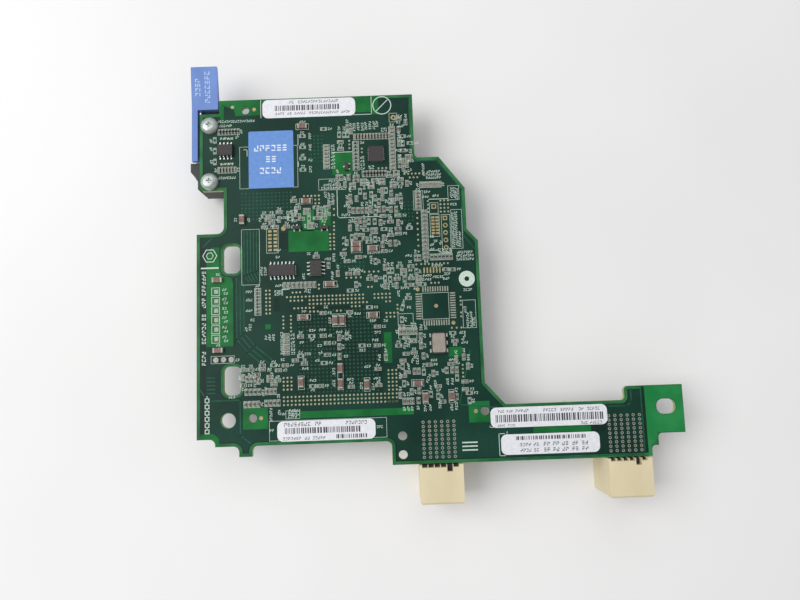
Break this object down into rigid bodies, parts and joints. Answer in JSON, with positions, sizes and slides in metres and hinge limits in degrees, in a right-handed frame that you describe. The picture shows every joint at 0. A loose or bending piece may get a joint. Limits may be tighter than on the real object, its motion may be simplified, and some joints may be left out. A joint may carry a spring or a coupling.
{
  "type": "fibre channel expansion card",
  "caption": "Plug-in network card for a blade server: a printed board with a long arm, right-angle backplane connectors, a board-to-board connector and a release lever.",
  "frame": {"origin": "centre of the locating hole, at the printed face of the board", "axes": "+X along the arm, +Y towards the release lever, +Z out of the printed face"},
  "size_m": [0.161, 0.1488, 0.0172],
  "materials": {
    "board_laminate": "satin",
    "label_white": "satin",
    "label_blue": "satin",
    "lever_blue": "matt",
    "bracket_black": "matt",
    "screw_steel": "plated",
    "connector_beige": "matt",
    "wafer_black": "matt",
    "contact_gold": "plated",
    "chip_black": "matt",
    "solder_tin": "satin",
    "substrate_green": "satin",
    "thermal_grey": "matt",
    "sink_aluminium": "satin",
    "capacitor_ceramic": "satin",
    "lid_metal": "satin",
    "inductor_grey": "matt",
    "tantalum_yellow": "satin"
  },
  "bodies": {
    "card": {"arm_lower_label": "label_white", "arm_upper_label": "label_white", "bracket_screws": "screw_steel", "capacitor_bodies": "capacitor_ceramic", "capacitor_ends": "solder_tin", "circuit_board": "board_laminate", "clock_chip_body": "chip_black", "clock_chip_pads": "solder_tin", "crystal_can": "lid_metal", "fibre_controller_balls": "solder_tin", "fibre_controller_cap": "chip_black", "fibre_controller_substrate": "substrate_green", "flash_memory_body": "chip_black", "flash_memory_leads": "solder_tin", "header_pins": "solder_tin", "heat_sink": "sink_aluminium", "inductor_cores": "inductor_grey", "inductor_feet": "solder_tin", "install_label": "label_blue", "left_backplane_contacts": "contact_gold", "left_backplane_housing": "connector_beige", "left_backplane_wafers": "wafer_black", "lever_bracket": "bracket_black", "lever_pin": "screw_steel", "logic_chip_body": "chip_black", "logic_chip_leads": "solder_tin", "memory_chip_body": "chip_black", "memory_chip_leads": "solder_tin", "network_controller_balls": "solder_tin", "network_controller_cap": "chip_black", "network_controller_substrate": "substrate_green", "oscillator_base": "chip_black", "oscillator_lid": "lid_metal", "oscillator_side_pads": "solder_tin", "part_label": "label_white", "right_backplane_contacts": "contact_gold", "right_backplane_housing": "connector_beige", "right_backplane_wafers": "wafer_black", "sensor_chip_body": "chip_black", "sensor_chip_leads": "solder_tin", "serial_label": "label_white", "stacking_connector_contacts": "contact_gold", "stacking_connector_housing": "wafer_black", "tantalum_bodies": "tantalum_yellow", "tantalum_strips": "solder_tin", "thermal_pad": "thermal_grey", "transistor_bodies": "chip_black", "transistor_leads": "solder_tin"},
    "lever": {"release_lever": "lever_blue"}
  },
  "joints": [
    {"name": "lever_hinge", "type": "hinge", "parent": "card", "child": "lever", "pos_m": [-0.0115, 0.0848, -0.0068], "axis": [1, 0, 0], "range_deg": [0, 30]}
  ]
}
